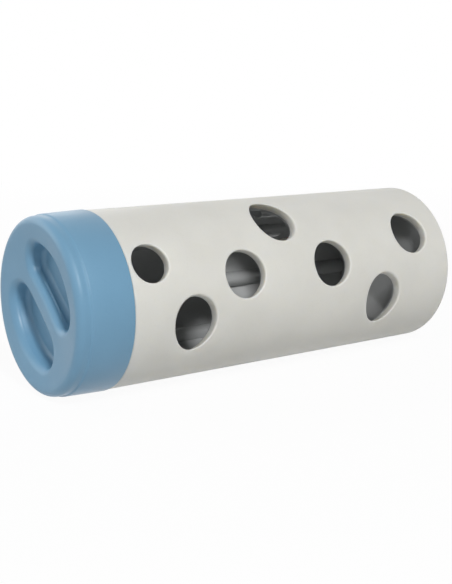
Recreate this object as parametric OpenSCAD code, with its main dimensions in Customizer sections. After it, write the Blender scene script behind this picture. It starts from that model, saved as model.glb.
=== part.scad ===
// Treat dispensing roller: a tube with treat openings, an inner sleeve that turns to
// cover them, a turning dial on the far end and a screw cap with a two-recess finger grip.
// Millimetres. The rolling axis is X, with the cap at -X, and the origin is at mid-length.

/* [Tube] */
// Outside diameter of the tube
tube_od = 60; // [54:0.5:72]
// Wall thickness of the tube
tube_wall = 3.2; // [2.6:0.1:4]
// Length of the whole roller, from the cap's face to the far end
roller_length = 160; // [156:1:200]
// Rounding of the tube's outer edge at the far end
end_round = 0.8; // [0.3:0.1:1.5]
// Thickness of the inward lip at the far end
lip_thickness = 3; // [2:0.1:5]
// Width of that lip, inward from the tube's bore
lip_width = 2.8; // [2.2:0.1:4]

/* [Treat openings] */
// Diameter of the treat openings
opening_d = 16.2; // [10:0.1:17]
// Diameter of the one small opening next to the cap
small_opening_d = 13; // [8:0.1:14]
// Tilt of the openings' common direction above the horizontal
opening_tilt = 21; // [0:1:60]
// Width of wall between the cap's seam and the first opening
seam_land = 1.8; // [1:0.1:4]
// Distance along the tube between the last openings and the back of the dial
end_land = 2.5; // [1.5:0.1:6]

/* [Neck] */
// Wall thickness of the neck under the cap's skirt
neck_wall = 1.4; // [1.2:0.1:2]
// Chamfer on the neck's mouth
neck_chamfer = 0.5; // [0.2:0.1:0.9]

/* [Cap] */
// Length of the cap, from its face to the seam with the tube
cap_length = 19.2; // [17:0.1:24]
// Thickness of the cap's face plate at its edge
cap_plate = 3.4; // [2.8:0.1:4]
// How far the cap's skirt stands proud of the tube at the seam
cap_proud = 0.25; // [0.1:0.05:0.6]
// Draft of the skirt: how much smaller its radius is at the front
skirt_draft = 0.4; // [0.1:0.05:0.8]
// Length of the shoulder between the face and the skirt
shoulder_length = 4.5; // [4:0.1:6]
// Step in radius from the skirt down to the shoulder
shoulder_inset = 0.45; // [0.3:0.05:0.8]
// Rounding between the face and the shoulder
rim_round = 2.5; // [1.5:0.1:3]
// Depth of the slight dish in the face, at its middle
face_dish = 2; // [0.5:0.1:2.2]
// Radial clearance between the skirt and the neck
skirt_clearance = 0.3; // [0.2:0.05:0.5]
// Gap between the end of the skirt and the tube's shoulder
seam_gap = 0.15; // [0.1:0.05:0.4]

/* [Finger grip] */
// Width of the bar between the two recesses of the cap
grip_bar = 8; // [7:0.1:10]
// Distance from the middle of the cap to the recesses' outer sides
grip_reach = 19.2; // [18:0.1:20]
// Radius of the curved outer sides of the recesses
grip_side = 24; // [22:0.5:40]
// Corner radius of the recesses
grip_corner = 6; // [4:0.1:6.4]
// Depth of the recesses
grip_depth = 5.6; // [5.2:0.1:7]
// Rounding of the recess edges at the face
grip_edge = 2.6; // [1:0.1:2.8]
// Rounding at the floor of the recesses
grip_floor_round = 2; // [1:0.1:2.2]
// Taper of the recess walls, from edge to floor
grip_taper = 0.5; // [0.2:0.1:1]
// Wall thickness behind the recesses
grip_wall = 1.8; // [1.4:0.1:2.4]
// Slope of the bar across the cap's face, below the horizontal
grip_angle = 41; // [0:1:90]

/* [Seal] */
// Thickness of the seal ring between the cap and the neck
seal_thickness = 2; // [1.5:0.1:3]

/* [Sleeve] */
// Wall thickness of the inner sleeve
sleeve_wall = 1; // [0.8:0.1:1.4]
// Radial running gap between the sleeve and the tube
sleeve_gap = 0.3; // [0.2:0.05:0.5]
// How much wider the sleeve's windows are than the openings
window_margin = 1.9; // [0.6:0.1:2]
// Number of tumbling ribs inside the sleeve
rib_count = 8; // [4:1:12]
// Radius of the half-round ribs
rib_radius = 3; // [1.5:0.1:3.2]
// Turn of the ribs about the axis, from straight up towards the front
rib_phase = -10; // [-20:1:20]
// Turn of the sleeve from open to closed
close_turn = 54; // [54:1:60]

/* [Dial] */
// Length of the dial along the axis
dial_length = 6.5; // [6:0.1:9]
// Radial running gap between the dial's nose and the lip
dial_gap = 0.3; // [0.2:0.05:0.5]
// Recess of the dial's face behind the far end
dial_recess = 0.4; // [0.2:0.1:1]
// Thickness of the dial's driving flange
dial_flange = 3; // [2:0.1:3.4]
// Width of the driving tabs
tab_width = 8; // [6:0.5:10]
// Reach of the stop lug beyond the dial's nose
lug_reach = 1.2; // [0.8:0.1:1.6]
// Angle that the stop lug covers
lug_angle = 12; // [8:1:16]
// Depth of the dial's grip recesses
dial_grip_depth = 4; // [3:0.1:4.5]
// Width of the bar between the dial's recesses
dial_bar = 9; // [8:0.5:11]
// Corner radius of the dial's recesses
dial_corner = 4.5; // [3:0.1:5]

/* [Hidden] */
$fn = 96;
tube_r = tube_od / 2;
bore_r = tube_r - tube_wall;
face_x = -roller_length / 2;
end_x = roller_length / 2;
seam_x = face_x + cap_length;
plate_x = face_x + cap_plate;
neck_x = plate_x + seal_thickness;
neck_r = bore_r + neck_wall;
lip_r = bore_r - lip_width;
skirt_bore_r = neck_r + skirt_clearance;
skirt_r = tube_r + cap_proud;
shoulder_r = skirt_r - skirt_draft;
rim_r = shoulder_r - shoulder_inset;
sleeve_r = bore_r - sleeve_gap;
sleeve_bore_r = sleeve_r - sleeve_wall;
sleeve_end_x = end_x - lip_thickness - sleeve_gap;
sleeve_x = plate_x + sleeve_gap;
nose_r = lip_r - dial_gap;
dial_face_x = end_x - dial_recess;
dial_back_x = dial_face_x - dial_length;
flange_x = sleeve_end_x - dial_flange;
fit = 0.05;
face_r = rim_r - rim_round;
first_opening_x = seam_x + seam_land + small_opening_d / 2;
last_opening_x = dial_back_x - end_land - opening_d / 2;
rib_x = seam_x + seam_land;
rib_length = dial_back_x - sleeve_gap - rib_x;
edge_break = 0.4;
lug_gap = 1.5;
lug_thickness = lip_thickness / 2;
dial_reach = nose_r - 6;
dial_edge = 1.2;
over = 1;
// Layout of the openings on the front half of the tube: [share of the way from the first
// opening to the last, distance down from the axis, diameter]
FRONT_OPENINGS = [
    [0, -5, small_opening_d], [0.13, 15, opening_d], [0.309, 2, opening_d], [0.483, -16, opening_d],
    [0.643, 2, opening_d], [0.857, 16, opening_d], [1, -6, opening_d]
];
// Layout of the openings on the back half, staggered against the front ones
BACK_OPENINGS = [
    [0.057, -12, opening_d], [0.204, 7, opening_d], [0.404, -13, opening_d], [0.565, 14.5, opening_d],
    [0.83, -9, opening_d], [1, 15.5, opening_d]
];

// Points of an arc about c, from angle a0 to a1
function arc(c, r, a0, a1, n) =
    [for (i = [0:n]) let (a = a0 + (a1 - a0) * i / n) c + r * [cos(a), sin(a)]];

// Outline of a grip recess, grown by g: a half moon with round corners, its flat side at bar / 2
function half_moon(bar, reach, corner, g) =
    let (
        shift = grip_side - reach,
        up = bar / 2 + corner,
        out = sqrt(pow(grip_side - corner, 2) - pow(up + shift, 2)),
        turn = atan2(up + shift, out),
        step = (180 - 2 * turn) / 10
    )
    concat(
        arc([out, up], corner + g, -90, turn, 9),
        arc([0, -shift], grip_side + g, turn + step, 180 - turn - step, 8),
        arc([-out, up], corner + g, 180 - turn, 270, 9)
    );

// Place along the axis of an opening at a share of the way from the first to the last
function opening_x(share) = first_opening_x + share * (last_opening_x - first_opening_x);

// Depth of a dished face at a point of it
function dished(p, dish) = dish * (1 - (p.x * p.x + p.y * p.y) / (face_r * face_r));

// Sections of a recess from the face to its floor: [growth of the outline, depth, follows the dish]
function recess_sections(edge, depth, taper, foot) = concat(
    [[edge, -over, 1]],
    [for (i = [0:4]) let (a = 22.5 * i) [edge - edge * sin(a), edge - edge * cos(a), 1]],
    [for (i = [0:3]) let (a = 30 * i) [-taper - foot * (1 - cos(a)), depth - foot + foot * sin(a), 0]]
);

// Section points of a recess in a face with a dish, whose floor lies at the dish's middle depth
function section_points(outline, section, dish) =
    [for (p = outline) [p.x, p.y, section[1] + (section[2] > 0 ? dished(p, dish) : dish * 2 / 3)]];

// A closed solid through rings of equal length
module loft(rings) {
    n = len(rings[0]);
    last = len(rings) - 1;
    points = [for (ring = rings) each ring];
    sides = [
        for (k = [0:last - 1]) for (i = [0:n - 1])
            let (j = (i + 1) % n)
                each [[k * n + i, (k + 1) * n + i, k * n + j], [k * n + j, (k + 1) * n + i, (k + 1) * n + j]]
    ];
    bottom = [for (i = [0:n - 1]) i];
    top = [for (i = [n - 1:-1:0]) last * n + i];
    polyhedron(points, concat([bottom], sides, [top]));
}

// Turns a shape drawn about +Z to lie about +X
module about_x() {
    rotate([0, 90, 0]) children();
}

// Revolves a profile of [radius, place along the axis] about X
module revolved(profile) {
    about_x() rotate_extrude() polygon(profile);
}

// Straight cutters for all openings, each grown by extra
module openings(extra) {
    rotate([-opening_tilt, 0, 0]) {
        for (o = FRONT_OPENINGS)
            translate([opening_x(o[0]), 0, -o[1]]) rotate([90, 0, 0]) cylinder(h = tube_od, d = o[2] + extra);
        for (o = BACK_OPENINGS)
            translate([opening_x(o[0]), 0, -o[1]]) rotate([-90, 0, 0]) cylinder(h = tube_od, d = o[2] + extra);
    }
}

// Both recesses of a finger grip, cut along +Z into a face with a dish
module grip_recesses(bar, reach, corner, edge, depth, taper, foot, dish) {
    for (turn = [0, 180])
        rotate([0, 0, turn])
            loft([
                for (s = recess_sections(edge, depth, taper, foot))
                    section_points(half_moon(bar, reach, corner, s[0]), s, dish)
            ]);
}

// Places a shape drawn on the face plane of the cap, with +Z into the cap
module on_cap_face() {
    translate([face_x, 0, 0]) about_x() rotate([0, 0, grip_angle - 90]) children();
}

// Places a shape drawn on the face plane of the dial, with +Z into the dial
module on_dial_face() {
    translate([dial_face_x, 0, 0]) rotate([0, -90, 0]) rotate([0, 0, 90 - grip_angle]) children();
}

// A ring sector about X, between two radii and two angles from +Z towards -Y
module ring_sector(r0, r1, x, length, a0, a1) {
    translate([x, 0, 0]) about_x()
        rotate([0, 0, 180 + a0]) rotate_extrude(angle = a1 - a0) translate([r0, 0]) square([r1 - r0, length]);
}

module tube() {
    color([0.84, 0.84, 0.81])
    difference() {
        revolved(concat(
            [[bore_r, neck_x], [neck_r - neck_chamfer, neck_x], [neck_r, neck_x + neck_chamfer],
             [neck_r, seam_x + seam_gap], [tube_r - edge_break, seam_x + seam_gap],
             [tube_r, seam_x + seam_gap + edge_break]],
            arc([tube_r - end_round, end_x - end_round], end_round, 0, 90, 5),
            [[lip_r, end_x], [lip_r, end_x - lip_thickness], [bore_r, end_x - lip_thickness]]
        ));
        openings(0);
        ring_sector(lip_r - over, lip_r + lug_reach + dial_gap, end_x - lip_thickness - over,
            lug_thickness + over + dial_gap, -lug_angle / 2 - lug_gap, close_turn + lug_angle / 2 + lug_gap);
    }
}

module inner_sleeve() {
    color([0.58, 0.59, 0.59])
    difference() {
        union() {
            revolved([
                [sleeve_bore_r, sleeve_x], [sleeve_r, sleeve_x],
                [sleeve_r, sleeve_end_x], [sleeve_bore_r, sleeve_end_x]
            ]);
            difference() {
                intersection() {
                    for (i = [0:rib_count - 1])
                        rotate([rib_phase + i * 360 / rib_count, 0, 0])
                            translate([rib_x, 0, sleeve_bore_r]) about_x()
                                cylinder(h = rib_length, r = rib_radius, $fn = 32);
                    translate([sleeve_x, 0, 0]) about_x()
                        cylinder(h = sleeve_end_x - sleeve_x, r = sleeve_bore_r + sleeve_wall / 2);
                }
                openings(window_margin + 2 * rib_radius);
            }
        }
        openings(window_margin);
        driving_tabs(fit);
    }
}

// The two tabs by which the dial turns the sleeve, grown by extra
module driving_tabs(extra) {
    for (side = [-1, 1])
        translate([flange_x - extra, -tab_width / 2 - extra, side > 0 ? 0 : -sleeve_r])
            intersection() {
                cube([dial_flange + extra + over, tab_width + 2 * extra, sleeve_r]);
                translate([0, tab_width / 2 + extra, side > 0 ? 0 : sleeve_r]) about_x()
                    cylinder(h = dial_flange + extra + over, r = sleeve_r + extra);
            }
}

module turning_dial() {
    color([0.58, 0.59, 0.59])
    difference() {
        union() {
            revolved([
                [0, dial_back_x], [sleeve_bore_r - fit, dial_back_x], [sleeve_bore_r - fit, sleeve_end_x],
                [nose_r, sleeve_end_x], [nose_r, dial_face_x - edge_break],
                [nose_r - edge_break, dial_face_x], [0, dial_face_x]
            ]);
            intersection() {
                driving_tabs(0);
                translate([flange_x, 0, 0]) about_x() cylinder(h = dial_flange, r = sleeve_r);
            }
            ring_sector(nose_r - over, lip_r + lug_reach, sleeve_end_x, lug_thickness,
                -lug_angle / 2, lug_angle / 2);
        }
        on_dial_face()
            grip_recesses(dial_bar, dial_reach, dial_corner, dial_edge, dial_grip_depth, grip_taper,
                dial_edge, 0);
    }
}

module cap_seal() {
    color([0.75, 0.76, 0.74])
    translate([plate_x, 0, 0]) about_x()
        difference() {
            cylinder(h = seal_thickness, r = neck_r);
            translate([0, 0, -over]) cylinder(h = seal_thickness + 2 * over, r = bore_r);
        }
}

module screw_cap() {
    color([0.45, 0.6, 0.71])
    difference() {
        union() {
            revolved(concat(
                [for (i = [0:6]) let (r = face_r * i / 6) [r, face_x + dished([r, 0], face_dish)]],
                arc([face_r, face_x + rim_round], rim_round, -75, 0, 5),
                [[rim_r, face_x + shoulder_length - edge_break],
                 [shoulder_r - edge_break / 2, face_x + shoulder_length],
                 [shoulder_r, face_x + shoulder_length + edge_break],
                 [skirt_r, seam_x], [skirt_bore_r, seam_x], [skirt_bore_r, plate_x], [0, plate_x]]
            ));
            on_cap_face()
                for (turn = [0, 180])
                    rotate([0, 0, turn])
                        loft([
                            for (s = [
                                [grip_wall, cap_plate / 2, 1], [grip_wall, grip_depth - grip_wall, 0],
                                [0, grip_depth + grip_wall, 0]
                            ]) section_points(half_moon(grip_bar, grip_reach, grip_corner, s[0]), s, face_dish)
                        ]);
        }
        on_cap_face()
            grip_recesses(grip_bar, grip_reach, grip_corner, grip_edge, grip_depth, grip_taper,
                grip_floor_round, face_dish);
    }
}

tube();
inner_sleeve();
turning_dial();
cap_seal();
screw_cap();
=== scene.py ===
"""Treat dispensing roller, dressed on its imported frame: tube, sleeve, dial, seal and screw cap."""

import math
from typing import NamedTuple

import bmesh
import bpy
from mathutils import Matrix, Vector
from mathutils.geometry import delaunay_2d_cdt


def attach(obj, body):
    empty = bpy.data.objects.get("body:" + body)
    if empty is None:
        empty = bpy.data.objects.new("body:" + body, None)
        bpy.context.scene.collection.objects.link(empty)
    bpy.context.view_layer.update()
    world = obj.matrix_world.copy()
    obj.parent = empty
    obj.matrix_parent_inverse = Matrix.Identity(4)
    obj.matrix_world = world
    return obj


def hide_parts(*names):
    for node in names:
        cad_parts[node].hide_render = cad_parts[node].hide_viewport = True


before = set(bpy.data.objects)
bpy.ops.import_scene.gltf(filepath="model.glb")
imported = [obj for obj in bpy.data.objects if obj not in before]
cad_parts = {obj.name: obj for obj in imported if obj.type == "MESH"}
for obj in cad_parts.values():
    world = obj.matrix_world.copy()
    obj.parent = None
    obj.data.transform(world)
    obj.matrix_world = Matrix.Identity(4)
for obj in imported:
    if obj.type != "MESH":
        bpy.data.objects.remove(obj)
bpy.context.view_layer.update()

# Sizes of the tube in millimetres, along the rolling axis X and as radii about it
MM = 0.001
FACE_X = -80.0
END_X = 80.0
CAP_LENGTH = 19.2
CAP_PLATE = 3.4
SEAL = 2.0
SEAM_X = FACE_X + CAP_LENGTH
SEAM_GAP = 0.15
TUBE_R = 30.0
TUBE_WALL = 3.2
BORE_R = TUBE_R - TUBE_WALL
TUBE_EDGE = 0.4
END_ROUND = 0.8
LIP = 3.0
LIP_WIDTH = 2.8
LIP_R = BORE_R - LIP_WIDTH
LIP_EDGE = 0.3
STOP_NOTCH = 1.8
STOP_NOTCH_R = 25.5
STOP_NOTCH_START = math.radians(-7.5)
STOP_NOTCH_END = math.radians(61.5)
NECK_X = FACE_X + CAP_PLATE + SEAL
NECK_WALL = 1.4
NECK_R = BORE_R + NECK_WALL
NECK_CHAMFER = 0.5

# Treat openings: share of the way from the first to the last, place down from the axis, radius
OPENING_R = 8.1
SMALL_OPENING_R = 6.5
SEAM_LAND = 1.8
DIAL_BACK = 6.9
END_LAND = 2.5
FIRST_OPENING_X = SEAM_X + SEAM_LAND + SMALL_OPENING_R
LAST_OPENING_X = END_X - DIAL_BACK - END_LAND - OPENING_R
FRONT_OPENINGS = [
    (0.0, -5.0, SMALL_OPENING_R),
    (0.13, 15.0, OPENING_R),
    (0.309, 2.0, OPENING_R),
    (0.483, -16.0, OPENING_R),
    (0.643, 2.0, OPENING_R),
    (0.857, 16.0, OPENING_R),
    (1.0, -6.0, OPENING_R),
]
BACK_OPENINGS = [
    (0.057, -12.0, OPENING_R),
    (0.204, 7.0, OPENING_R),
    (0.404, -13.0, OPENING_R),
    (0.565, 14.5, OPENING_R),
    (0.83, -9.0, OPENING_R),
    (1.0, 15.5, OPENING_R),
]
# Direction in which every opening is cut, as a turn from straight up towards the front
PULL = math.radians(69.0)
RIM_ROUND = 0.75
INNER_ROUND = 0.3

# Sizes of the cap
CAP_PROUD = 0.25
SKIRT_R = TUBE_R + CAP_PROUD
SKIRT_CLEARANCE = 0.3
SKIRT_BORE_R = NECK_R + SKIRT_CLEARANCE
SKIRT_DRAFT = 0.4
SHOULDER = 4.5
SHOULDER_R = SKIRT_R - SKIRT_DRAFT
SHOULDER_INSET = 0.45
RIM_R = SHOULDER_R - SHOULDER_INSET
RIM_CURVE = 2.5
FACE_R = RIM_R - RIM_CURVE
FACE_DISH = 2.0
FLOOR_DIP = FACE_DISH * 2 / 3
GRIP_BAR = 8.0
GRIP_REACH = 19.2
GRIP_SIDE = 24.0
GRIP_CORNER = 6.0
GRIP_DEPTH = 5.6
GRIP_EDGE = 2.6
GRIP_FLOOR = 2.0
GRIP_TAPER = 0.5
GRIP_WALL = 1.8
GRIP_SLOPE = math.radians(41.0)
BAR_ALONG = math.cos(GRIP_SLOPE)
BAR_DOWN = math.sin(GRIP_SLOPE)

# Cove and brow at the cap's shoulder, measured from its step
COVE_START = 1.1
COVE_PULL = 0.35
COVE_END = (0.3, 0.2)
BROW_PULL = 0.02
BROW_RUN = 0.5
# Foot of the skirt: (in from the skirt, ahead of the seam)
SKIRT_FOOT = [(0.0, 0.5), (0.12, 0.12), (0.45, 0.0)]

# Thread on the neck
THREAD_LEAD = 6.0
THREAD_TURNS = 1.6
THREAD_LEAD_IN = 1.6
THREAD_X = NECK_X + THREAD_LEAD_IN
THREAD_START = 0.4
RIDGE_HEIGHT = 0.24
RIDGE_WIDTH = 0.7
# Share of the thread's length over which each end runs out, and its size at the very end
RUN_OUT = 0.06
RUN_OUT_SIZE = 0.05

# Steps of the fine meshes
TURN_STEPS = 160
RIM_STEPS = 80
RIM_ROUND_STEPS = 6
INNER_ROUND_STEPS = 3
TUBE_EDGE_STEPS = 5
END_ROUND_STEPS = 6
CREST_STEPS = 14
COVE_STEPS = 6
BROW_STEPS = 5
GRIP_CORNER_STEPS = 26
GRIP_SIDE_STEPS = 40
GRIP_BAR_STEPS = 16
GRIP_EDGE_STEPS = 12
GRIP_FLOOR_STEPS = 10
THREAD_STEPS = 120
RIDGE_STEPS = 12
# Cells of the walls and the face, and how far their points keep from the openings, in millimetres
WALL_STEP = 2.5
FACE_STEP = 1.5
RIM_CLEAR = 0.8
# Distances at which points count as one, in millimetres
MERGE = 1e-5
WELD = 0.002
SHARP_EDGE = math.radians(40.0)
TURN_START = math.radians(-25.0)
TURNS = [TURN_START + 2 * math.pi * i / TURN_STEPS for i in range(TURN_STEPS + 1)]

# Studio: lamps by place, size and power, in metres and watts, all aimed at the roller's middle
LAMPS = {
    "front_lamp": ((-0.30, -0.88, 0.78), (0.16, 0.24), 10.7),
    "back_lamp": ((0.10, 1.24, 0.66), (1.20, 1.00), 3.8),
    "end_lamp": ((-0.70, 0.70, 0.36), (0.70, 0.70), 3.0),
    "side_lamp": ((-1.06, -0.44, 0.60), (0.24, 0.60), 1.3),
}
WORLD_FILL = 0.18
FLOOR_REACH = 4.0
FLOOR_GREY = 0.78
FLOOR_ROUGHNESS = 0.9
# Distance over which the floor's shown white grows from its share near the roller to plain white
FLOOR_FADE = (0.2, 0.8)
FLOOR_WHITE = (0.95, 1.0)

# Camera: focal length in the photograph's pixels, picture height in pixels, sensor in millimetres
FOCAL_PIXELS = 1040.54
PICTURE_HEIGHT = 584.0
SENSOR = 36.0
CAMERA_PLACE = (-0.2226, -0.3009, 0.0675)
CAMERA_AIM = (0.5763, 0.7955, -0.1874)


class Opening(NamedTuple):
    """A straight-cut treat opening: side is 1 at the front and -1 at the back."""

    side: int
    x: float
    down: float
    radius: float


OPENINGS = [
    Opening(side, FIRST_OPENING_X + share * (LAST_OPENING_X - FIRST_OPENING_X), down, radius)
    for side, row in ((1, FRONT_OPENINGS), (-1, BACK_OPENINGS))
    for share, down, radius in row
]


class Skin:
    """Points and faces of one closed piece, in millimetres."""

    def __init__(self):
        self.points = []
        self.faces = []

    def ring(self, points):
        """Adds points and gives their numbers."""
        start = len(self.points)
        self.points.extend(points)
        return list(range(start, len(self.points)))

    def bridge(self, a, b):
        """Joins two closed rings with a band of faces."""
        n = len(a)
        for i in range(n):
            j = (i + 1) % n
            self.faces.append((a[i], a[j], b[j], b[i]))

    def strip(self, rings):
        """Joins a row of closed rings and gives the last one."""
        made = [self.ring(r) for r in rings]
        for a, b in zip(made, made[1:]):
            self.bridge(a, b)
        return made[-1]

    def sheet(self, points, faces):
        """Adds an open sheet of faces."""
        numbers = self.ring(points)
        self.faces.extend(tuple(numbers[i] for i in f) for f in faces)

    def made(self, name, material):
        """The finished object, welded, with its faces outwards and its edges sharp where they are."""
        mesh = bpy.data.meshes.new(name)
        mesh.from_pydata([Vector(p) * MM for p in self.points], [], self.faces)
        shape = bmesh.new()
        shape.from_mesh(mesh)
        bmesh.ops.remove_doubles(shape, verts=shape.verts, dist=WELD * MM)
        bmesh.ops.recalc_face_normals(shape, faces=shape.faces)
        shape.to_mesh(mesh)
        shape.free()
        mesh.shade_smooth()
        mesh.set_sharp_from_angle(angle=SHARP_EDGE)
        mesh.materials.append(material)
        return placed(name, mesh)


def placed(name, data):
    """A new object in the scene."""
    thing = bpy.data.objects.new(name, data)
    bpy.context.collection.objects.link(thing)
    return thing


def about_axis(r, turn, x):
    """A point at radius r, turned from straight up towards the front, at x along the axis."""
    return (x, -r * math.sin(turn), r * math.cos(turn))


def revolved(skin, profile):
    """Sweeps a profile of (radius, x) round the axis; a radius may depend on the turn."""
    skin.strip([
        [about_axis(r(t) if callable(r) else r, t, x) for t in TURNS[:-1]] for r, x in profile
    ])


def curve_points(centre, radius, start, end, steps):
    """Points of an arc in a (radius, x) profile."""
    turns = [math.radians(start + (end - start) * i / steps) for i in range(steps + 1)]
    return [(centre[0] + radius * math.cos(a), centre[1] + radius * math.sin(a)) for a in turns]


def bend(start, corner, end, steps):
    """Points of a smooth bend in a flat profile, pulled towards a corner."""
    points = []
    for i in range(steps + 1):
        u = i / steps
        shares = ((1 - u) ** 2, 2 * u * (1 - u), u * u)
        points.append(tuple(sum(s * v for s, v in zip(shares, row)) for row in zip(start, corner, end)))
    return points


def quarter(steps):
    """Angles of a quarter turn."""
    return [math.pi / 2 * i / steps for i in range(steps + 1)]


def add_outline(flat, edges, outline):
    """Adds a closed outline to the points and edges of a flat mesh."""
    start, n = len(flat), len(outline)
    flat.extend(Vector(p) for p in outline)
    edges.extend((start + i, start + (i + 1) % n) for i in range(n))


def filled(flat, edges, is_hole):
    """Points and triangles of a flat mesh, with the triangles inside holes left out."""
    points, _, faces = delaunay_2d_cdt(flat, edges, [], 0, MERGE)[:3]
    middles = [sum((points[i] for i in f), Vector((0, 0))) / len(f) for f in faces]
    return points, [f for f, middle in zip(faces, middles) if not is_hole(middle)]


def opening_turn(side, down, r):
    """The turn at which a line, down below the openings' middle plane, meets radius r."""
    lean = math.asin(down / r)
    return PULL + lean if side > 0 else PULL + math.pi - lean


def wrapped(turn):
    """The same turn, inside the one full turn that starts at TURN_START."""
    return (turn - TURN_START) % (2 * math.pi) + TURN_START


def opening_outline(opening, r, growth):
    """Outline of an opening on a wall of radius r, as (x, length round the wall)."""
    reach = opening.radius + growth
    outline = []
    for i in range(RIM_STEPS):
        a = 2 * math.pi * i / RIM_STEPS
        turn = opening_turn(opening.side, opening.down + reach * math.sin(a), r)
        outline.append((opening.x + reach * math.cos(a), r * wrapped(turn)))
    return outline


def in_an_opening(r, x, turn, growth):
    """Whether a point of a wall of radius r lies inside any opening grown by growth."""
    side = math.copysign(1, math.cos(turn - PULL))
    down = r * math.sin(turn - PULL)
    return any(
        o.side == side and math.hypot(x - o.x, down - o.down) < o.radius + growth for o in OPENINGS
    )


def perforated_wall(skin, r, x0, x1, growth):
    """A round wall with every opening left out, meshed flat and then rolled up."""
    lengths = max(2, round((x1 - x0) / WALL_STEP))
    xs = [x0 + (x1 - x0) * i / lengths for i in range(lengths + 1)]
    border = [(x0, t) for t in TURNS[:-1]] + [(x, TURNS[-1]) for x in xs[:-1]]
    border += [(x1, t) for t in reversed(TURNS[1:])] + [(x, TURNS[0]) for x in reversed(xs[1:])]
    flat, edges = [], []
    add_outline(flat, edges, [(x, r * t) for x, t in border])
    for opening in OPENINGS:
        add_outline(flat, edges, opening_outline(opening, r, growth))
    flat.extend(
        Vector((x, r * t)) for x in xs[1:-1] for t in TURNS[1:-1]
        if not in_an_opening(r, x, t, growth + RIM_CLEAR)
    )
    points, faces = filled(flat, edges, lambda p: in_an_opening(r, p.x, p.y / r, growth))
    skin.sheet([about_axis(r, p.y / r, p.x) for p in points], faces)


def in_cut(opening, a, reach, out):
    """A point at angle a and distance reach about an opening's middle line, out along the cut."""
    down = opening.down + reach * math.sin(a)
    out *= opening.side
    return (
        opening.x + reach * math.cos(a),
        -math.cos(PULL) * down - math.sin(PULL) * out,
        -math.sin(PULL) * down + math.cos(PULL) * out,
    )


def rim(opening, a, r, size, steps):
    """Rounded rim of an opening at angle a on a wall of radius r; below zero, size faces the bore."""

    def out(reach):
        return math.sqrt(r * r - (opening.down + reach * math.sin(a)) ** 2)

    inner, outer = opening.radius, opening.radius + abs(size)
    points = bend((outer, out(outer)), (inner, out(inner)), (inner, out(inner) - size), steps)
    return [in_cut(opening, a, *p) for p in points]


def opening_edges(skin, opening):
    """The rounded rim, straight wall and inner edge of one opening."""
    columns = []
    for i in range(RIM_STEPS):
        a = 2 * math.pi * i / RIM_STEPS
        outer = rim(opening, a, TUBE_R, RIM_ROUND, RIM_ROUND_STEPS)
        inner = rim(opening, a, BORE_R, -INNER_ROUND, INNER_ROUND_STEPS)
        columns.append(outer + inner[::-1])
    skin.strip(list(zip(*columns)))


def stop_notch(turn):
    """Radius of the far lip's inner edge: wider over the arc in which the dial's stop lug travels."""
    return STOP_NOTCH_R if STOP_NOTCH_START < turn < STOP_NOTCH_END else LIP_R


def tube_shell(material):
    """The off-white tube: neck, seam edge, wall with openings, rounded far end and inward lip."""
    skin = Skin()
    seam = SEAM_X + SEAM_GAP
    wall_x0, wall_x1 = seam + TUBE_EDGE, END_X - END_ROUND
    lip_x = END_X - LIP
    perforated_wall(skin, TUBE_R, wall_x0, wall_x1, RIM_ROUND)
    perforated_wall(skin, BORE_R, NECK_X, lip_x, INNER_ROUND)
    for opening in OPENINGS:
        opening_edges(skin, opening)
    neck = [
        (BORE_R, NECK_X),
        (NECK_R - NECK_CHAMFER, NECK_X),
        (NECK_R, NECK_X + NECK_CHAMFER),
        (NECK_R, seam),
    ]
    seam_edge = curve_points((TUBE_R - TUBE_EDGE, wall_x0), TUBE_EDGE, -90, 0, TUBE_EDGE_STEPS)
    revolved(skin, neck + seam_edge)
    lip = [
        (LIP_R + LIP_EDGE, END_X),
        (LIP_R, END_X - LIP_EDGE),
        (LIP_R, lip_x + STOP_NOTCH),
        (stop_notch, lip_x + STOP_NOTCH),
        (stop_notch, lip_x),
        (BORE_R, lip_x),
    ]
    far_edge = curve_points((TUBE_R - END_ROUND, wall_x1), END_ROUND, 0, 90, END_ROUND_STEPS)
    revolved(skin, far_edge + lip)
    return skin.made("tube_shell", material)


def grip_corner():
    """Middle of a recess's corner rounding, (along the bar, away from it), and the turn where it ends."""
    up = GRIP_BAR / 2 + GRIP_CORNER
    lift = up + GRIP_SIDE - GRIP_REACH
    out = math.sqrt((GRIP_SIDE - GRIP_CORNER) ** 2 - lift * lift)
    return out, up, math.atan2(lift, out)


def half_moon(growth):
    """Outline of one finger recess of the cap, grown outwards: (along the bar, away from it)."""
    out, up, turn = grip_corner()
    turn = math.degrees(turn)
    corner, side = GRIP_CORNER + growth, GRIP_SIDE + growth
    right = curve_points((out, up), corner, -90, turn, GRIP_CORNER_STEPS)
    over = curve_points((0, GRIP_REACH - GRIP_SIDE), side, turn, 180 - turn, GRIP_SIDE_STEPS)[1:-1]
    left = curve_points((-out, up), corner, 180 - turn, 270, GRIP_CORNER_STEPS)
    (x0, y0), x1 = left[-1], right[0][0]
    bar = [(x0 + (x1 - x0) * i / GRIP_BAR_STEPS, y0) for i in range(1, GRIP_BAR_STEPS)]
    return right + over + left + bar


def dished(depth, dip, a, b):
    """Place along the axis of a point of the cap's face, at a depth and in a dish of depth dip."""
    return FACE_X + depth + dip * (1 - (a * a + b * b) / FACE_R**2)


def on_cap(points, depth, half, dip=0.0):
    """Places recess points on the cap; half is 1 for the upper recess and -1 for the lower one."""
    return [
        (
            dished(depth, dip, a, b),
            half * (-BAR_ALONG * a - BAR_DOWN * b),
            half * (-BAR_DOWN * a + BAR_ALONG * b),
        )
        for a, b in points
    ]


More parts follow.
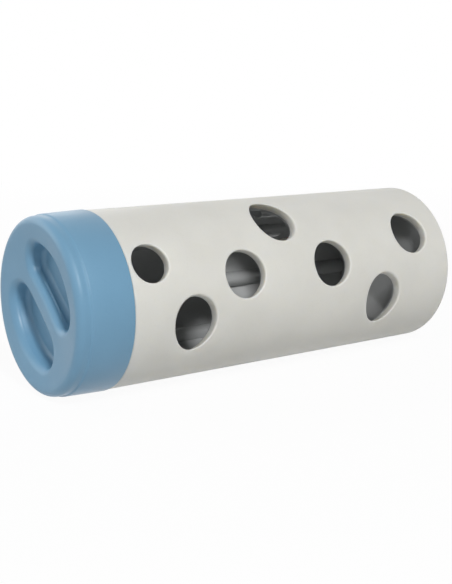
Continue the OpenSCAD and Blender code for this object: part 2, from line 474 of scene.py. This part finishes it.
def in_recess(y, z, growth):
    """Whether a point of the cap's face lies inside a recess outline grown by growth."""
    a, b = abs(-BAR_ALONG * y - BAR_DOWN * z), abs(-BAR_DOWN * y + BAR_ALONG * z)
    out, up, turn = grip_corner()
    lift = b + GRIP_SIDE - GRIP_REACH
    if b < GRIP_BAR / 2 - growth or math.hypot(a, lift) > GRIP_SIDE + growth:
        return False
    corner = a > out and math.atan2(lift, a) < turn
    return not corner or math.hypot(a - out, b - up) < GRIP_CORNER + growth


def plate_with_recesses(skin, r, depth, growth, dip=0.0):
    """A disc of the cap, flat or dished, with both recess outlines left out."""
    flat, edges = [], []
    add_outline(flat, edges, [about_axis(r, t, 0)[1:] for t in TURNS[:-1]])
    for half in (1, -1):
        add_outline(flat, edges, [p[1:] for p in on_cap(half_moon(growth), 0, half)])
    rings = round(r / FACE_STEP) if dip else 0
    for ring in range(1, rings):
        for i in range(6 * ring):
            y, z = about_axis(r * ring / rings, math.pi * i / (3 * ring), 0)[1:]
            if not in_recess(y, z, growth + FACE_STEP / 2):
                flat.append(Vector((y, z)))
    points, faces = filled(flat, edges, lambda p: in_recess(p.x, p.y, growth))
    skin.sheet([(dished(depth, dip, p.x, p.y), p.x, p.y) for p in points], faces)


def recess_sides(skin, sections, half):
    """Walls and floor of a recess through its sections of (growth, depth, dip)."""
    floor = skin.strip([on_cap(half_moon(g), depth, half, dip) for g, depth, dip in sections])
    skin.faces.append(tuple(floor))


def cap_shell(material):
    """The grey-blue screw cap: dished face, two finger recesses, shoulder, skirt and hollow underside."""
    skin = Skin()
    plate_with_recesses(skin, FACE_R, 0, GRIP_EDGE, FACE_DISH)
    plate_with_recesses(skin, SKIRT_BORE_R, CAP_PLATE, GRIP_WALL)
    edge = [
        (GRIP_EDGE * (1 - math.sin(a)), GRIP_EDGE * (1 - math.cos(a)), FACE_DISH)
        for a in quarter(GRIP_EDGE_STEPS)
    ]
    low = GRIP_DEPTH + FLOOR_DIP
    foot = [
        (-GRIP_TAPER - GRIP_FLOOR * (1 - math.cos(a)), low - GRIP_FLOOR * (1 - math.sin(a)), 0.0)
        for a in quarter(GRIP_FLOOR_STEPS)
    ]
    under = [
        (GRIP_WALL, CAP_PLATE, 0.0),
        (GRIP_WALL, low - GRIP_WALL, 0.0),
        (0, low + GRIP_WALL, 0.0),
    ]
    for half in (1, -1):
        recess_sides(skin, edge + foot, half)
        recess_sides(skin, under, half)
    step = FACE_X + SHOULDER
    crest = curve_points((FACE_R, FACE_X + RIM_CURVE), RIM_CURVE, -90, 0, CREST_STEPS)
    cove_end = (SHOULDER_R - COVE_END[0], step - COVE_END[1])
    cove = bend((RIM_R, step - COVE_START), (RIM_R, step - COVE_PULL), cove_end, COVE_STEPS)
    brow_end = (SHOULDER_R, step + BROW_RUN)
    brow = bend(cove_end, (SHOULDER_R - BROW_PULL, step), brow_end, BROW_STEPS)[1:]
    foot_edge = [(SKIRT_R - inward, SEAM_X - ahead) for inward, ahead in SKIRT_FOOT]
    bore = [(SKIRT_BORE_R, SEAM_X), (SKIRT_BORE_R, FACE_X + CAP_PLATE)]
    revolved(skin, crest + cove + brow + foot_edge + bore)
    return skin.made("cap_shell", material)


def thread_tree():
    """Geometry nodes for one raised thread: a helix with tapered ends, swept with a rounded ridge."""
    tree = bpy.data.node_groups.new("thread_ridge", "GeometryNodeTree")
    for name in ("Radius", "Lead", "Turns", "Height", "Width"):
        tree.interface.new_socket(name, in_out="INPUT", socket_type="NodeSocketFloat")
    tree.interface.new_socket("Finish", in_out="INPUT", socket_type="NodeSocketMaterial")
    tree.interface.new_socket("Thread", in_out="OUTPUT", socket_type="NodeSocketGeometry")
    nodes, links = tree.nodes, tree.links
    given = nodes.new("NodeGroupInput")
    helix = nodes.new("GeometryNodeCurveSpiral")
    helix.inputs["Resolution"].default_value = THREAD_STEPS
    # Blender's spiral winds left-handed, and the thread is right-handed
    helix.inputs["Reverse"].default_value = True
    links.new(given.outputs["Turns"], helix.inputs["Rotations"])
    links.new(given.outputs["Radius"], helix.inputs["Start Radius"])
    links.new(given.outputs["Radius"], helix.inputs["End Radius"])
    rise = math_node(tree, "MULTIPLY", given.outputs["Lead"], given.outputs["Turns"])
    links.new(rise, helix.inputs["Height"])
    upright = nodes.new("GeometryNodeSetCurveNormal")
    upright.mode = "Z_UP"
    links.new(helix.outputs["Curve"], upright.inputs["Curve"])
    along = nodes.new("GeometryNodeSplineParameter")
    taper = nodes.new("ShaderNodeFloatCurve")
    curve = taper.mapping.curves[0]
    curve.points[0].location = (0.0, RUN_OUT_SIZE)
    curve.points[1].location = (1.0, RUN_OUT_SIZE)
    curve.points.new(RUN_OUT, 1.0)
    curve.points.new(1 - RUN_OUT, 1.0)
    taper.mapping.update()
    links.new(along.outputs["Factor"], taper.inputs["Value"])
    ridge = nodes.new("GeometryNodeCurvePrimitiveCircle")
    ridge.inputs["Resolution"].default_value = RIDGE_STEPS
    ridge.inputs["Radius"].default_value = 1.0
    size = nodes.new("ShaderNodeCombineXYZ")
    links.new(given.outputs["Width"], size.inputs["X"])
    links.new(given.outputs["Height"], size.inputs["Y"])
    size.inputs["Z"].default_value = 1.0
    shaped = nodes.new("GeometryNodeTransform")
    links.new(ridge.outputs["Curve"], shaped.inputs["Geometry"])
    links.new(size.outputs["Vector"], shaped.inputs["Scale"])
    swept = nodes.new("GeometryNodeCurveToMesh")
    swept.inputs["Fill Caps"].default_value = True
    links.new(upright.outputs["Curve"], swept.inputs["Curve"])
    links.new(shaped.outputs["Geometry"], swept.inputs["Profile Curve"])
    links.new(taper.outputs["Value"], swept.inputs["Scale"])
    real = nodes.new("GeometryNodeRealizeInstances")
    links.new(swept.outputs["Mesh"], real.inputs["Geometry"])
    smooth = nodes.new("GeometryNodeSetShadeSmooth")
    links.new(real.outputs["Geometry"], smooth.inputs["Geometry"])
    dressed = nodes.new("GeometryNodeSetMaterial")
    links.new(smooth.outputs["Geometry"], dressed.inputs["Geometry"])
    links.new(given.outputs["Finish"], dressed.inputs["Material"])
    result = nodes.new("NodeGroupOutput")
    links.new(dressed.outputs["Geometry"], result.inputs["Thread"])
    return tree


def thread_on_neck(material):
    """The neck's thread ridge, wound by geometry nodes and laid about the rolling axis as a plain mesh."""
    tree = thread_tree()
    holder = placed("neck_thread_path", bpy.data.meshes.new("neck_thread_path"))
    wind = holder.modifiers.new("thread", "NODES")
    wind.node_group = tree
    values = {
        "Radius": NECK_R * MM,
        "Lead": THREAD_LEAD * MM,
        "Turns": THREAD_TURNS,
        "Height": RIDGE_HEIGHT * MM,
        "Width": RIDGE_WIDTH * MM,
        "Finish": material,
    }
    for item in tree.interface.items_tree:
        if item.in_out == "INPUT":
            wind[item.identifier] = values[item.name]
    ready = holder.evaluated_get(bpy.context.evaluated_depsgraph_get())
    mesh = bpy.data.meshes.new_from_object(ready)
    mesh.name = "neck_thread"
    bpy.data.objects.remove(holder)
    for v in mesh.vertices:
        turn = math.atan2(v.co.y, v.co.x) + THREAD_START
        v.co = about_axis(math.hypot(v.co.x, v.co.y), turn, THREAD_X * MM + v.co.z)
    return placed("neck_thread", mesh)


def math_node(tree, operation, *values):
    """A math node fed by sockets or plain numbers."""
    node = tree.nodes.new("ShaderNodeMath")
    node.operation = operation
    for socket, value in zip(node.inputs, values):
        if isinstance(value, bpy.types.NodeSocket):
            tree.links.new(value, socket)
        else:
            socket.default_value = value
    return node.outputs[0]


def group_tree(name, inputs, outputs):
    """A shader node group with its named inputs and outputs."""
    tree = bpy.data.node_groups.new(name, "ShaderNodeTree")
    for label, value in inputs:
        kind = "NodeSocketColor" if isinstance(value, tuple) else "NodeSocketFloat"
        tree.interface.new_socket(label, in_out="INPUT", socket_type=kind).default_value = value
    for label, kind in outputs:
        tree.interface.new_socket(label, in_out="OUTPUT", socket_type=kind)
    return tree, tree.nodes.new("NodeGroupInput"), tree.nodes.new("NodeGroupOutput")


def noise(tree, scale, detail=2.0, stretch=(1.0, 1.0, 1.0)):
    """A noise value on Object coordinates, stretched along the axes."""
    where = tree.nodes.new("ShaderNodeTexCoord")
    mapping = tree.nodes.new("ShaderNodeMapping")
    mapping.inputs["Scale"].default_value = stretch
    texture = tree.nodes.new("ShaderNodeTexNoise")
    texture.inputs["Scale"].default_value = scale
    texture.inputs["Detail"].default_value = detail
    tree.links.new(where.outputs["Object"], mapping.inputs["Vector"])
    tree.links.new(mapping.outputs["Vector"], texture.inputs["Vector"])
    return texture.outputs["Fac"]


def spread(tree, value, span, result):
    """Maps a value from one span to another."""
    node = tree.nodes.new("ShaderNodeMapRange")
    node.inputs["From Min"].default_value, node.inputs["From Max"].default_value = span
    node.inputs["To Min"].default_value, node.inputs["To Max"].default_value = result
    tree.links.new(value, node.inputs["Value"])
    return node.outputs["Result"]


def moulded_tone():
    """Colour of a moulding: a base tone with slow clouding and fine specks."""
    tree, given, result = group_tree(
        "moulded_tone",
        [("Tone", (0.5, 0.5, 0.5, 1)), ("Deep tone", (0.4, 0.4, 0.4, 1)), ("Speck", 0.25)],
        [("Color", "NodeSocketColor")],
    )
    cloud = spread(tree, noise(tree, scale=45.0, detail=3.0), (0.35, 0.7), (0.0, 0.6))
    speck = spread(tree, noise(tree, scale=1500.0), (0.55, 0.75), (0.0, 1.0))
    mix = tree.nodes.new("ShaderNodeMix")
    mix.data_type = "RGBA"
    share = math_node(tree, "MULTIPLY_ADD", speck, given.outputs["Speck"], cloud)
    tree.links.new(share, mix.inputs["Factor"])
    tree.links.new(given.outputs["Tone"], mix.inputs["A"])
    tree.links.new(given.outputs["Deep tone"], mix.inputs["B"])
    tree.links.new(mix.outputs["Result"], result.inputs["Color"])
    return tree


def moulded_surface():
    """Fine spark texture of a mould, as a height, and rubbed patches, as a roughness."""
    tree, given, result = group_tree(
        "moulded_surface",
        [("Roughness", 0.45), ("Rub", 0.08)],
        [("Roughness", "NodeSocketFloat"), ("Height", "NodeSocketFloat")],
    )
    grain, wave = noise(tree, scale=2600.0), noise(tree, scale=260.0)
    tree.links.new(math_node(tree, "MULTIPLY_ADD", wave, 0.6, grain), result.inputs["Height"])
    rubbed = noise(tree, scale=70.0, detail=4.0, stretch=(0.3, 1.0, 1.0))
    patches = spread(tree, rubbed, (0.35, 0.7), (-1.0, 1.0))
    rough = math_node(tree, "MULTIPLY_ADD", patches, given.outputs["Rub"], given.outputs["Roughness"])
    tree.links.new(rough, result.inputs["Roughness"])
    return tree


TONE = moulded_tone()
SURFACE = moulded_surface()
GRAIN_DEPTH = 0.0004
GLOW_REACH = 0.004
GLOW_COLOURS = (1.0, 0.9, 0.7)


def plastic(name, tone, deep, roughness, rub=0.08, bump=0.06, specular=0.45, glow=0.0):
    """A moulded plastic from the two shared groups; glow is the share of light scattered inside."""
    material = bpy.data.materials.new(name)
    material.use_nodes = True
    tree = material.node_tree
    shader = tree.nodes["Principled BSDF"]
    shader.inputs["Specular IOR Level"].default_value = specular
    shader.inputs["Subsurface Weight"].default_value = glow
    shader.inputs["Subsurface Radius"].default_value = GLOW_COLOURS
    shader.inputs["Subsurface Scale"].default_value = GLOW_REACH
    colour = tree.nodes.new("ShaderNodeGroup")
    colour.node_tree = TONE
    colour.inputs["Tone"].default_value = (*tone, 1)
    colour.inputs["Deep tone"].default_value = (*deep, 1)
    surface = tree.nodes.new("ShaderNodeGroup")
    surface.node_tree = SURFACE
    surface.inputs["Roughness"].default_value = roughness
    surface.inputs["Rub"].default_value = rub
    raised = tree.nodes.new("ShaderNodeBump")
    raised.inputs["Strength"].default_value = bump
    raised.inputs["Distance"].default_value = GRAIN_DEPTH
    tree.links.new(surface.outputs["Height"], raised.inputs["Height"])
    tree.links.new(raised.outputs["Normal"], shader.inputs["Normal"])
    tree.links.new(surface.outputs["Roughness"], shader.inputs["Roughness"])
    tree.links.new(colour.outputs["Color"], shader.inputs["Base Color"])
    return material


TUBE_FINISH = plastic(
    "off_white_moulding", (0.655, 0.65, 0.61), (0.59, 0.585, 0.545), 0.5, glow=0.6)
CAP_FINISH = plastic(
    "grey_blue_moulding", (0.148, 0.30, 0.436), (0.134, 0.272, 0.398), 0.38, bump=0.025, specular=0.32)
SLEEVE_FINISH = plastic(
    "grey_moulding", (0.43, 0.44, 0.44), (0.37, 0.38, 0.38), 0.15, rub=0.05, bump=0.01, specular=0.7)
SEAL_FINISH = plastic("grey_seal_rubber", (0.5, 0.51, 0.5), (0.44, 0.45, 0.44), 0.6)

tube = tube_shell(TUBE_FINISH)
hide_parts("tube")
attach(tube, "tube")

cap = cap_shell(CAP_FINISH)
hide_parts("screw_cap")
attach(cap, "cap")

neck_thread = thread_on_neck(TUBE_FINISH)
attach(neck_thread, "tube")

# The sleeve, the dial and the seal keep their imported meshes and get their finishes
finishes = {"inner_sleeve": SLEEVE_FINISH, "turning_dial": SLEEVE_FINISH, "cap_seal": SEAL_FINISH}
for node, finish in finishes.items():
    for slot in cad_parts[node].material_slots:
        slot.material = finish


def shown_rays(tree):
    """One for rays that show the backdrop: straight to the camera, mirrored or through clear material."""
    path = tree.nodes.new("ShaderNodeLightPath")
    mirrored = math_node(
        tree, "MAXIMUM", path.outputs["Is Glossy Ray"], path.outputs["Is Transmission Ray"])
    return math_node(tree, "MAXIMUM", path.outputs["Is Camera Ray"], mirrored)


def pale_floor():
    """The floor's material: pale grey for the light, near white for the rays that show it."""
    pale = bpy.data.materials.new("pale_floor")
    pale.use_nodes = True
    tree = pale.node_tree
    nodes, links = tree.nodes, tree.links
    ground = nodes["Principled BSDF"]
    ground.inputs["Base Color"].default_value = (FLOOR_GREY, FLOOR_GREY, FLOOR_GREY, 1)
    ground.inputs["Roughness"].default_value = FLOOR_ROUGHNESS
    white = nodes.new("ShaderNodeEmission")
    where = nodes.new("ShaderNodeTexCoord")
    away = nodes.new("ShaderNodeVectorMath")
    away.operation = "LENGTH"
    links.new(where.outputs["Object"], away.inputs[0])
    whiteness = spread(tree, away.outputs["Value"], FLOOR_FADE, FLOOR_WHITE)
    mixed = nodes.new("ShaderNodeMixShader")
    links.new(math_node(tree, "MULTIPLY", shown_rays(tree), whiteness), mixed.inputs["Fac"])
    links.new(ground.outputs["BSDF"], mixed.inputs[1])
    links.new(white.outputs["Emission"], mixed.inputs[2])
    links.new(mixed.outputs["Shader"], nodes["Material Output"].inputs["Surface"])
    return pale


def floor_sheet():
    """The floor under the roller."""
    mesh = bpy.data.meshes.new("floor")
    corners = [(-1, -1), (1, -1), (1, 1), (-1, 1)]
    low = -SKIRT_R * MM
    mesh.from_pydata([(FLOOR_REACH * x, FLOOR_REACH * y, low) for x, y in corners], [], [(0, 1, 2, 3)])
    mesh.materials.append(pale_floor())
    return placed("floor", mesh)


def white_world():
    """A world that shows white and lights softly."""
    world = bpy.data.worlds.new("studio")
    bpy.context.scene.world = world
    world.use_nodes = True
    tree = world.node_tree
    back = tree.nodes["Background"]
    back.inputs["Color"].default_value = (1, 1, 1, 1)
    strength = spread(tree, shown_rays(tree), (0.0, 1.0), (WORLD_FILL, 1.0))
    tree.links.new(strength, back.inputs["Strength"])


def aimed(name, data, place, direction):
    """Places a lamp or the camera and points it along a direction."""
    thing = placed(name, data)
    thing.location = place
    thing.rotation_euler = Vector(direction).to_track_quat("-Z", "Y").to_euler()
    return thing


def lamps():
    """Soft rectangular lamps about the roller."""
    for name, (place, (width, height), power) in LAMPS.items():
        data = bpy.data.lights.new(name, "AREA")
        data.shape = "RECTANGLE"
        data.size, data.size_y = width, height
        data.energy = power
        aimed(name, data, place, -Vector(place))


def camera():
    """The camera of the photograph."""
    data = bpy.data.cameras.new("camera")
    data.sensor_width = SENSOR
    data.lens = FOCAL_PIXELS * SENSOR / PICTURE_HEIGHT
    bpy.context.scene.camera = aimed("camera", data, CAMERA_PLACE, CAMERA_AIM)


floor = floor_sheet()
white_world()
lamps()
camera()
bpy.context.scene.view_settings.view_transform = "Standard"
